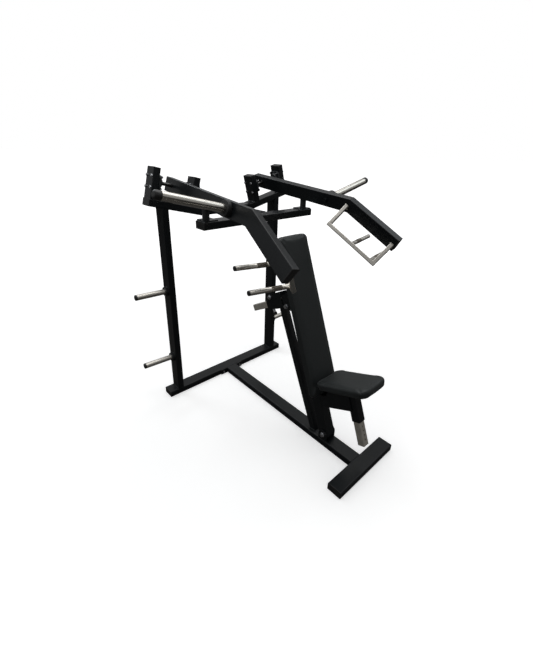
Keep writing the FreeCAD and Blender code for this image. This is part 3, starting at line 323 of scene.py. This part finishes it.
SIDES = {"left": 1, "right": -1}
TUBE_WIDE, TUBE_NARROW = 0.100, 0.050
UPRIGHT_CENTRE = 0.522
LEAN = math.radians(21)                # the bench leans back
BENCH_PIVOT = Vector((0, -1.200, 0.095))
SPINE = 0.080                          # depth of the backrest's post
HEAD_SPOT = Vector((0.635, 0, 1.572))  # outer end of a top beam, at its underside
AXLE_RISE = 0.163                      # from the top beam's underside up to the axle
ARM_LATERAL = 0.187                    # from the top beam's outer end in to the arm
ARM_BEND = 0.876                       # from the axle along the arm to its bend
ARM_SLOPE = math.radians(5.8)
ARM_LOWER_SLOPE = math.radians(31.7)
HANDLE_START, HANDLE_LENGTH = -0.012, 0.408     # along the lower run, from the bend
HANDLE_DROP, HANDLE_REACH = 0.016, 0.160
HANDLE_ANGLE = math.radians(43)        # the handle frame's legs slope down by this


def shift(x, y, z):
    return Matrix.Translation((x, y, z))


def turn(angle, axis):
    return Matrix.Rotation(angle, 4, axis)


def bench(forward, up, across=0.0):
    """Place in the leaning bench: forward of the post's centre line, and up along it."""
    return shift(*BENCH_PIVOT) @ turn(-LEAN, "X") @ shift(across, -forward, up)


def head(sign, inward=0.0, forward=0.0, up=0.0):
    """Place in a tilted pivot head: inward along the axle, forward, and up."""
    spot = shift(sign * HEAD_SPOT.x, HEAD_SPOT.y, HEAD_SPOT.z)
    return spot @ turn(-sign * TILT, "Y") @ shift(-sign * inward, -forward, up)


def arm_upper(sign, reach, up, aside):
    """Place on an arm's upper run; its own -Y runs along the arm."""
    drop = reach * math.tan(ARM_SLOPE)
    return (head(sign, ARM_LATERAL + aside, reach, AXLE_RISE - drop)
            @ turn(ARM_SLOPE, "X") @ shift(0, 0, up))


def arm_lower(sign, reach, up, aside):
    """Place on an arm's lower run, measured from its bend."""
    bend = turn(ARM_LOWER_SLOPE - ARM_SLOPE, "X")
    return arm_upper(sign, ARM_BEND, 0, aside) @ bend @ shift(0, -reach, up)


# ---------------------------------------------------------------- mesh helpers


def new_object(name, mesh, material):
    made = bpy.data.objects.new(name, mesh)
    bpy.context.scene.collection.objects.link(made)
    mesh.materials.clear()
    mesh.materials.append(material)
    return made


def smooth(mesh, degrees):
    mesh.shade_smooth()
    mesh.set_sharp_from_angle(angle=math.radians(degrees))


def evaluated(thing):
    """A fresh copy of an object's mesh with its modifiers applied."""
    graph = bpy.context.evaluated_depsgraph_get()
    return bpy.data.meshes.new_from_object(thing.evaluated_get(graph))


def discard(*things):
    for thing in things:
        mesh = thing.data
        bpy.data.objects.remove(thing)
        bpy.data.meshes.remove(mesh)


# ---------------------------------------------------------------- upholstery

CORNER_STEPS = 10
NEGLIGIBLE = 1e-6


def outline(width, length, corner, inset):
    """Points round a rounded rectangle, pulled in by inset."""
    least_radius = 0.002
    radius = max(corner - inset, least_radius)
    points = []
    for quarter, (sx, sy) in enumerate(((1, 1), (-1, 1), (-1, -1), (1, -1))):
        centre = Vector((sx * (width / 2 - inset - radius), sy * (length / 2 - inset - radius)))
        for step in range(CORNER_STEPS + 1):
            angle = math.pi / 2 * (quarter + step / CORNER_STEPS)
            points.append(centre + Vector((math.cos(angle), math.sin(angle))) * radius)
    return points


def stacked(name, width, length, corner, profile):
    """Closed form of outlines stacked along Z: profile is pairs of inset and height."""
    mesh = bpy.data.meshes.new(name)
    work = bmesh.new()
    rings = [[work.verts.new((p.x, p.y, height)) for p in outline(width, length, corner, inset)]
             for inset, height in profile]
    count = len(rings[0])
    for low, high in zip(rings, rings[1:]):
        for i in range(count):
            after = (i + 1) % count
            work.faces.new((low[i], low[after], high[after], high[i]))
    work.faces.new(list(reversed(rings[0])))
    work.faces.new(rings[-1])
    work.to_mesh(mesh)
    work.free()
    return mesh


def rounded_side(thick, taper, belly, back_round, front_round):
    """Profile of a pad's edge, from its back face round to its front face.

    The side is widest from the height belly up, and pulled in by taper at the back.
    """
    steps = 5
    quarter = [math.pi / 2 * i / steps for i in range(steps + 1)]
    under = [(taper + back_round * (1 - math.sin(a)), back_round * (1 - math.cos(a)))
             for a in quarter[1:]]
    over = [(front_round * (1 - math.cos(a)), thick - front_round * (1 - math.sin(a)))
            for a in quarter]
    middle = [(0, belly)] if belly > back_round else []
    return [(taper + back_round, 0)] + under + middle + over


def inflate(name, mesh, voxel, held, cap):
    """Remeshes a closed form and fills it with air as cloth.

    Points lower than held stay where they are, and no point moves further than cap.
    """
    stiffness, frames = 12.0, 20
    thing = bpy.data.objects.new(name + "_work", mesh)
    bpy.context.scene.collection.objects.link(thing)
    remesh = thing.modifiers.new("remesh", "REMESH")
    remesh.mode = "VOXEL"
    remesh.voxel_size = voxel
    dense = bpy.data.objects.new(name + "_dense", evaluated(thing))
    bpy.context.scene.collection.objects.link(dense)
    start = [v.co.copy() for v in dense.data.vertices]
    pins = dense.vertex_groups.new(name="held")
    pins.add([i for i, co in enumerate(start) if co.z < held], 1.0, "REPLACE")
    cloth = dense.modifiers.new("cloth", "CLOTH")
    cloth.settings.use_pressure = True
    cloth.settings.uniform_pressure_force = 4
    cloth.settings.mass = 0.3
    cloth.settings.tension_stiffness = stiffness
    cloth.settings.compression_stiffness = stiffness
    cloth.settings.shear_stiffness = stiffness / 3
    cloth.settings.bending_stiffness = 0.6
    cloth.settings.vertex_group_mass = "held"
    cloth.settings.effector_weights.gravity = 0
    scene = bpy.context.scene
    for step in range(1, frames + 1):
        scene.frame_set(step)
    blown = evaluated(dense)
    scene.frame_set(1)
    dense.modifiers.clear()
    for vertex, origin, end in zip(dense.data.vertices, start, blown.vertices):
        move = end.co - origin
        far = move.length
        if far > NEGLIGIBLE:
            vertex.co = origin + move * (cap * math.tanh(far / cap) / far)
    bpy.data.meshes.remove(blown)
    discard(thing)
    return dense


def relax(mesh, rounds, held):
    """Evens out the remeshed surface away from the held back face."""
    work = bmesh.new()
    work.from_mesh(mesh)
    loose = [v for v in work.verts if v.co.z > held]
    for _ in range(rounds):
        bmesh.ops.smooth_vert(work, verts=loose, factor=0.5, use_axis_x=True, use_axis_y=True,
                              use_axis_z=True)
    work.to_mesh(mesh)
    work.free()


def upholstered(name, size, corner, profile, voxel, place, body):
    """A filled pad with a recess for its board in the back."""
    width, length = size
    held, cap, relaxing = 0.004, 0.006, 3
    shell = stacked(name, width, length, corner, profile)
    dense = inflate(name, shell, voxel, held, cap)
    relax(dense.data, relaxing, held)
    dense.modifiers.new("finer", "SUBSURF").levels = 1
    margin, gap, depth, beyond = 0.016, 0.0002, 0.010, 0.02
    inset = margin - gap
    cutter_mesh = stacked(name + "_cutter", width, length, corner,
                          [(inset, -beyond), (inset, depth + gap)])
    cutter = bpy.data.objects.new(name + "_cutter", cutter_mesh)
    bpy.context.scene.collection.objects.link(cutter)
    recess = dense.modifiers.new("recess", "BOOLEAN")
    recess.operation = "DIFFERENCE"
    recess.solver = "EXACT"
    recess.object = cutter
    mesh = evaluated(dense)
    discard(dense, cutter)
    mesh.transform(place)
    mesh.name = name
    pad = new_object(name, mesh, MATERIALS["pad_vinyl"])
    smooth(mesh, 40)
    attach(pad, body)
    return pad


def pads():
    """Backrest and seat cushions; each replaces its plain CAD slab."""
    stand = turn(math.pi / 2, "X")      # own Y up the bench, own Z forward
    back_start, back_length = 0.307, 1.100
    back_place = bench(SPINE / 2, back_start + back_length / 2) @ stand
    back_profile = rounded_side(0.0415, 0.0005, 0.02, 0.003, 0.011)
    backrest = upholstered("backrest_cushion", (0.260, 1.096), 0.038, back_profile, 0.0055,
                           back_place, "bench")
    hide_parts("backrest_pad")
    seat_rear, seat_depth, seat_low = 0.100, 0.398, 0.388
    seat_place = bench(seat_rear + seat_depth / 2, seat_low)
    seat_profile = rounded_side(0.0480, 0.0075, 0.026, 0.010, 0.013)
    seat = upholstered("seat_cushion", (0.262, 0.396), 0.058, seat_profile, 0.0050,
                       seat_place, "seat")
    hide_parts("seat_pad")


# ---------------------------------------------------------------- knurled grip bands


def zigzag(value):
    """Goes down from 1 to 0 and back up to 1 between whole numbers."""
    return abs(2 * (value - math.floor(value)) - 1)


def knurl(name, start, way, body):
    """Diamond knurling rolled into a band of a grip, as a thin closed sleeve."""
    first, last = 0.23, 0.50            # share of the grip's length, from its root
    length, radius, depth, inner, sunk = 0.255, 0.01405, 0.00045, 0.0130, 0.0002
    around, samples, pitch = 34, 4, 0.0026
    columns = around * samples
    rows = int((last - first) * length / pitch * samples)
    upward = Vector((0, 0, 1))
    side = way.cross(upward).normalized()
    rise = side.cross(way)
    verts, faces = [], []

    def ring(along, radii):
        centre = start + way * along
        for i in range(columns):
            angle = 2 * math.pi * i / columns
            spoke = side * math.cos(angle) + rise * math.sin(angle)
            verts.append(centre + spoke * radii[i])

    low, high = first * length, last * length
    ring(low, [inner] * columns)
    for row in range(rows + 1):
        along = low + (high - low) * row / rows
        edge = min(row, rows - row, samples) / samples
        radii = []
        for i in range(columns):
            a, b = i / samples + row / samples, i / samples - row / samples
            peak = depth * edge * min(zigzag(a), zigzag(b)) * 2
            radii.append(radius + peak - (1 - edge) * sunk)
        ring(along, radii)
    ring(high, [inner] * columns)
    total = rows + 3
    for row in range(total):
        for i in range(columns):
            after = (i + 1) % columns
            a, b = row * columns, (row + 1) % total * columns
            faces.append((a + i, a + after, b + after, b + i))
    mesh = bpy.data.meshes.new(name)
    mesh.from_pydata(verts, [], faces)
    work = bmesh.new()
    work.from_mesh(mesh)
    bmesh.ops.recalc_face_normals(work, faces=work.faces)
    work.to_mesh(mesh)
    work.free()
    band = new_object(name, mesh, KNURLED_STEEL)
    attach(band, body)


def grip_lines(sign):
    """Root and direction of both grips on one handle."""
    sweep, droop = math.radians(8), math.radians(11)
    face = arm_lower(sign, HANDLE_START, -HANDLE_DROP, TUBE_NARROW / 2)
    down = Vector((-sign * math.cos(HANDLE_ANGLE), 0, -math.sin(HANDLE_ANGLE))) * HANDLE_REACH
    way = Vector((sign * math.cos(droop) * math.cos(sweep), math.cos(droop) * math.sin(sweep),
                  -math.sin(droop)))
    way = (head(sign).to_3x3() @ way).normalized()
    root = face @ shift(*down)
    return [((root @ shift(0, -share * HANDLE_LENGTH, 0)).translation, way)
            for share in (0.52, 0.93)]


def knurls():
    for side, sign in SIDES.items():
        for number, (start, way) in enumerate(grip_lines(sign), start=1):
            knurl(f"{side}_grip_knurl_{number}", start, way, f"{side}_press_arm")


# ---------------------------------------------------------------- weld beads


def bead(work, points, radius, closed):
    """A rippled weld bead along straight runs between points, added to a bmesh.

    A closed bead joins its last point to its first; an open one narrows to its ends.
    """
    pitch, step, sides = 0.0040, 0.0011, 7
    trough, ripple_depth, end_share = 0.86, 0.14, 0.35      # shares of the radius
    askew = Vector((0.31, 0.22, 0.93))                      # parallel to no weld
    legs = list(zip(points, points[1:] + points[:1])) if closed else list(zip(points, points[1:]))
    path = []
    for a, b in legs:
        count = max(1, round((b - a).length / step))
        path += [a.lerp(b, i / count) for i in range(count)]
    if not closed:
        path.append(points[-1])
    rings, travelled = [], 0.0
    last = len(path) - 1
    for i, spot in enumerate(path):
        before = path[i - 1] if closed or i else spot
        after = path[(i + 1) % len(path)] if closed or i < last else spot
        along = (after - before).normalized()
        side = along.cross(askew).normalized()
        rise = side.cross(along)
        ripple = abs(math.sin(math.pi * travelled / pitch))
        reach = radius * (trough + ripple_depth * ripple)
        if not closed:
            reach *= min(1.0, end_share + min(i, last - i) * step / radius)
        ring = []
        for k in range(sides):
            angle = 2 * math.pi * k / sides
            spoke = side * math.cos(angle) + rise * math.sin(angle)
            ring.append(work.verts.new(spot + spoke * reach))
        rings.append(ring)
        travelled += step
    pairs = list(zip(rings, rings[1:])) + ([(rings[-1], rings[0])] if closed else [])
    for low, high in pairs:
        for k in range(sides):
            after = (k + 1) % sides
            work.faces.new((low[k], low[after], high[after], high[k]))
    if not closed:
        work.faces.new(list(reversed(rings[0])))
        work.faces.new(rings[-1])


def placed(matrix, *points):
    return [matrix @ Vector(p) for p in points]


def loop(matrix, half_x, half_y):
    """Corners of a rectangle in a place's own XY plane, with clipped corners."""
    cut = 0.004
    x, y = half_x, half_y
    return placed(matrix, (x, y - cut, 0), (x - cut, y, 0), (cut - x, y, 0), (-x, y - cut, 0),
                  (-x, cut - y, 0), (cut - x, -y, 0), (x - cut, -y, 0), (x, cut - y, 0))


def circle(matrix, radius):
    """Points round a circle in a place's own XY plane."""
    count = 48
    angles = [2 * math.pi * i / count for i in range(count)]
    return placed(matrix, *((radius * math.cos(a), radius * math.sin(a), 0) for a in angles))


def bead_object(name, beads, slot, body):
    """One piece from beads, each given as its points, radius and whether it is closed."""
    work = bmesh.new()
    for points, radius, closed in beads:
        bead(work, points, radius, closed)
    bmesh.ops.recalc_face_normals(work, faces=work.faces)
    mesh = bpy.data.meshes.new(name)
    work.to_mesh(mesh)
    work.free()
    thing = new_object(name, mesh, MATERIALS[slot])
    mesh.shade_smooth()
    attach(thing, body)


FILLET, SMALL_FILLET, TINY_FILLET = 0.0034, 0.0028, 0.0026
PROUD = 0.001                           # how far a bead's middle stands off the piece it rings


def across_line(matrix, half, radius=FILLET):
    """A straight bead along a place's own Y."""
    return placed(matrix, (0, -half, 0), (0, half, 0)), radius, False


def frame_welds():
    """Uprights on the rear beam and top beams, bearing posts, collars, and the lower frame."""
    half, narrow = TUBE_WIDE / 2 - 0.004, TUBE_NARROW / 2
    post_faces = (0.050, 0.305, 0.355)  # inward from the top beam's outer end
    horn_heights, collar_radius = (0.350, 0.929), 0.0368
    beads = []
    for sign in SIDES.values():
        for edge in (-narrow, narrow):
            x = sign * UPRIGHT_CENTRE + edge
            beads.append(across_line(shift(x, 0, TUBE_NARROW), half))
            inward = (HEAD_SPOT.x - sign * x) / math.cos(TILT)
            beads.append(across_line(head(sign, inward), half))
        for inward in post_faces:
            beads.append(across_line(head(sign, inward, 0, TUBE_NARROW), half))
        collar_face = sign * (UPRIGHT_CENTRE + narrow)
        for height in horn_heights:
            rim = shift(collar_face, 0, height) @ turn(math.pi / 2, "Y")
            beads.append((circle(rim, collar_radius), TINY_FILLET, True))
    beads += beam_welds() + stop_welds() + stay_welds()
    bead_object("frame_weld_beads", beads, "black_powder_coat", "frame")


def beam_welds():
    """Flange plate and front foot on the ends of the central beam; clevis on its top."""
    upright = turn(math.pi / 2, "X")
    beam_ends, half_height = (-0.058, -1.450), 0.020
    clevis_side, clevis_end, half_wall = 0.045, 0.034, 0.003
    beads = []
    for side in (-TUBE_WIDE / 2, TUBE_WIDE / 2):
        for y in beam_ends:
            spot = shift(side, y, TUBE_NARROW / 2)
            beads.append(across_line(spot @ upright, half_height))
    for x in (-clevis_side, clevis_side):
        for y in (-clevis_end, clevis_end):
            spot = shift(x, BENCH_PIVOT.y + y, TUBE_NARROW)
            beads.append((placed(spot, (-half_wall, 0, 0), (half_wall, 0, 0)), half_wall, False))
    return beads


def stop_welds():
    """Carriers between the cross tie and the stop beam, and the bumper plates on it."""
    beads = []
    carrier_top, carrier_aside, half_height = 1.520, 0.075, 0.021
    stop_back, tie_front = -0.383, -0.050
    for x in (-carrier_aside, carrier_aside):
        for side in (-TUBE_NARROW / 2, TUBE_NARROW / 2):
            for y in (stop_back, tie_front):
                spot = shift(x + side, y, carrier_top - TUBE_NARROW / 2)
                beads.append(across_line(spot @ turn(math.pi / 2, "X"), half_height))
    plate_ends, plate_y, plate_z, plate_half = (0.383, 0.479), -0.433, 1.517, 0.043
    for sign in SIDES.values():
        for end in plate_ends:
            spot = shift(sign * end, plate_y, plate_z)
            beads.append(across_line(spot, plate_half, TINY_FILLET))
    return beads


def stay_welds():
    """Round the stay's foot on the central beam."""
    lean, foot_front = math.radians(23.8), -1.118
    half = TUBE_NARROW / 2
    half_slant = half / math.cos(lean)
    foot = shift(0, foot_front + half_slant, TUBE_NARROW)
    return [(loop(foot, half + PROUD, half_slant + PROUD), FILLET, True)]


# ---------------------------------------------------------------- welds of the moving bodies


def arm_welds():
    """Handle frames on the arms, and the arms on their axles."""
    leg_half, off_face, axle_ring = 0.0125, 0.0005, 0.0138
    leg_slant = leg_half / math.cos(HANDLE_ANGLE)
    for side, sign in SIDES.items():
        steel, coat = [], []
        for along in (HANDLE_START, HANDLE_START + HANDLE_LENGTH):
            spot = arm_lower(sign, along, -HANDLE_DROP, TUBE_NARROW / 2 + off_face)
            rim = loop(spot @ turn(math.pi / 2, "Y"), leg_slant + PROUD, leg_half + PROUD)
            steel.append((rim, SMALL_FILLET, True))
        for inward in (-TUBE_NARROW / 2, TUBE_NARROW / 2):
            spot = head(sign, ARM_LATERAL + inward, 0, AXLE_RISE) @ turn(math.pi / 2, "Y")
            coat.append((circle(spot, axle_ring), SMALL_FILLET, True))
        bead_object(f"{side}_handle_weld_beads", steel, "stainless", f"{side}_press_arm")
        bead_object(f"{side}_axle_weld_beads", coat, "black_powder_coat", f"{side}_press_arm")


def bench_welds():
    """Ears and seat straps on the backrest post, and the straps on the seat's sleeve."""
    beads = []
    upright = turn(-math.pi / 2, "X")
    ear_up, ear_faces, ear_half = 0.963, (0.0265, 0.0345), 0.068
    strap_up, strap_face, strap_half = 0.2605, 0.038, 0.040
    for sign in (-1, 1):
        for face in ear_faces:
            spot = bench(-SPINE / 2, ear_up, sign * face)
            beads.append(across_line(spot @ upright, ear_half, TINY_FILLET))
        spot = bench(SPINE / 2, strap_up, sign * strap_face)
        beads.append(across_line(spot @ upright, strap_half, SMALL_FILLET))
    bead_object("bench_weld_beads", beads, "black_powder_coat", "bench")
    seat_axis, mount_low, half, seat_bead = 0.308, 0.382, 0.025, 0.003
    rim = loop(bench(seat_axis, mount_low), half + PROUD, half + PROUD)
    bead_object("seat_weld_beads", [(rim, seat_bead, True)], "bare_steel", "seat")


# ---------------------------------------------------------------- paint on the CAD parts


def inward_of(point):
    """How far a point lies inward along its own head's axle."""
    sign = 1 if point.x > 0 else -1
    return -sign * (head(sign).inverted() @ point).x


def paint_parts():
    """Each CAD part's material by its slot; the nuts beside the bearings get a darkened zinc as
    painted shade.
    """
    for name, thing in NODES.items():
        paint(thing, OWN_MATERIALS.get(name) or MATERIALS[SLOT_OF[name]])
    fasteners = NODES["bearing_bolts"]
    # painted shade: the nuts beside the bearings take the darkened zinc copy
    fasteners.data.materials.append(SHADED_ZINC)
    first_nut, last_nut = 0.055, 0.300
    for face in fasteners.data.polygons:
        if first_nut < inward_of(face.center) < last_nut:
            face.material_index = 1


# ---------------------------------------------------------------- camera, floor and light


def aim_camera():
    """Camera at eye height, off the machine's front right corner."""
    yaw, pitch, roll = (math.radians(v) for v in (42.11, -23.03, 1.38))
    ahead = Vector((math.sin(yaw) * math.cos(pitch), math.cos(yaw) * math.cos(pitch),
                    math.sin(pitch)))
    level = Vector((math.cos(yaw), -math.sin(yaw), 0))
    above = level.cross(ahead)
    right = math.cos(roll) * level + math.sin(roll) * above
    up = -math.sin(roll) * level + math.cos(roll) * above
    data = bpy.data.cameras.new("camera")
    data.sensor_width = 36.0
    data.lens = 18.70
    data.shift_x = -0.0006
    data.shift_y = -0.0556
    data.clip_end = 100
    camera = bpy.data.objects.new("camera", data)
    bpy.context.scene.collection.objects.link(camera)
    facing = Matrix((right, up, -ahead)).transposed().to_4x4()
    camera.matrix_world = Matrix.Translation((-1.6071, -2.3065, 1.9393)) @ facing
    bpy.context.scene.camera = camera


def floor():
    """Pale floor. It throws little light back at the machine, and fades to white far off."""
    mesh = bpy.data.meshes.new("floor")
    half = 200
    corners = [(-half, -half, 0), (half, -half, 0), (half, half, 0), (-half, half, 0)]
    mesh.from_pydata(corners, [], [(0, 1, 2, 3)])
    plane = bpy.data.objects.new("floor", mesh)
    bpy.context.scene.collection.objects.link(plane)
    s = Shader("floor")
    seen = (s.add("ShaderNodeLightPath"), "Is Camera Ray")
    cloud = s.noise(0.8, 2.0)
    pale = s.mix(cloud, (0.80, 0.80, 0.80, 1), (0.83, 0.83, 0.83, 1))
    base = s.mix(seen, (0.09, 0.085, 0.08, 1), pale)
    distance = s.add("ShaderNodeVectorMath", operation="LENGTH")
    s.link(s.place, "Object", distance, "Vector")
    glow = s.spread((distance, "Value"), 1.5, 5.0, 0.50, 1.0)
    plane.data.materials.append(s.finish(Base_Color=base, Roughness=0.9, Specular_IOR_Level=0.0,
                                         Emission_Color=(1, 1, 1, 1),
                                         Emission_Strength=s.maths("MULTIPLY", glow, seen)))


def area(name, place, target, width, height, radiance, tint=(1, 1, 1)):
    """Soft box of a given brightness; its power follows from its size."""
    data = bpy.data.lights.new(name, "AREA")
    data.shape = "RECTANGLE"
    data.size = width
    data.size_y = height
    data.energy = radiance * math.pi * width * height
    data.color = tint
    lamp = bpy.data.objects.new(name, data)
    bpy.context.scene.collection.objects.link(lamp)
    lamp.location = place
    lamp.rotation_euler = (Vector(target) - Vector(place)).to_track_quat("-Z", "Y").to_euler()


def lights():
    """Soft boxes, and a white surround that gives the machine little light."""
    world = bpy.data.worlds.new("studio")
    bpy.context.scene.world = world
    world.use_nodes = True
    tree = world.node_tree
    seen = tree.nodes.new("ShaderNodeLightPath")
    strength = tree.nodes.new("ShaderNodeMapRange")
    strength.inputs["To Min"].default_value = 0.27      # as the machine sees it
    strength.inputs["To Max"].default_value = 1.0       # as the camera sees it
    tree.links.new(seen.outputs["Is Camera Ray"], strength.inputs["Value"])
    background = tree.nodes["Background"]
    background.inputs["Color"].default_value = (1, 1, 1, 1)
    tree.links.new(strength.outputs["Result"], background.inputs["Strength"])
    centre = (0, -0.7, 0.9)
    cool = (0.90, 0.97, 1.0)
    area("overhead", (0.2, -0.2, 4.4), centre, 4.0, 4.0, 1.7)
    area("back", (2.6, 3.6, 3.0), centre, 4.0, 2.6, 0.15)
    area("near_side", (-4.6, 0.6, 2.2), centre, 2.4, 2.6, 0.5, cool)
    area("far_side", (2.8, -1.7, 3.9), centre, 1.6, 1.6, 1.2, cool)
    area("rim", (-1.25, 2.8, 4.05), centre, 1.2, 0.8, 9.0, cool)
    bpy.context.scene.view_settings.view_transform = "Standard"


paint_parts()
pads()
knurls()
frame_welds()
arm_welds()
bench_welds()
aim_camera()
floor()
lights()
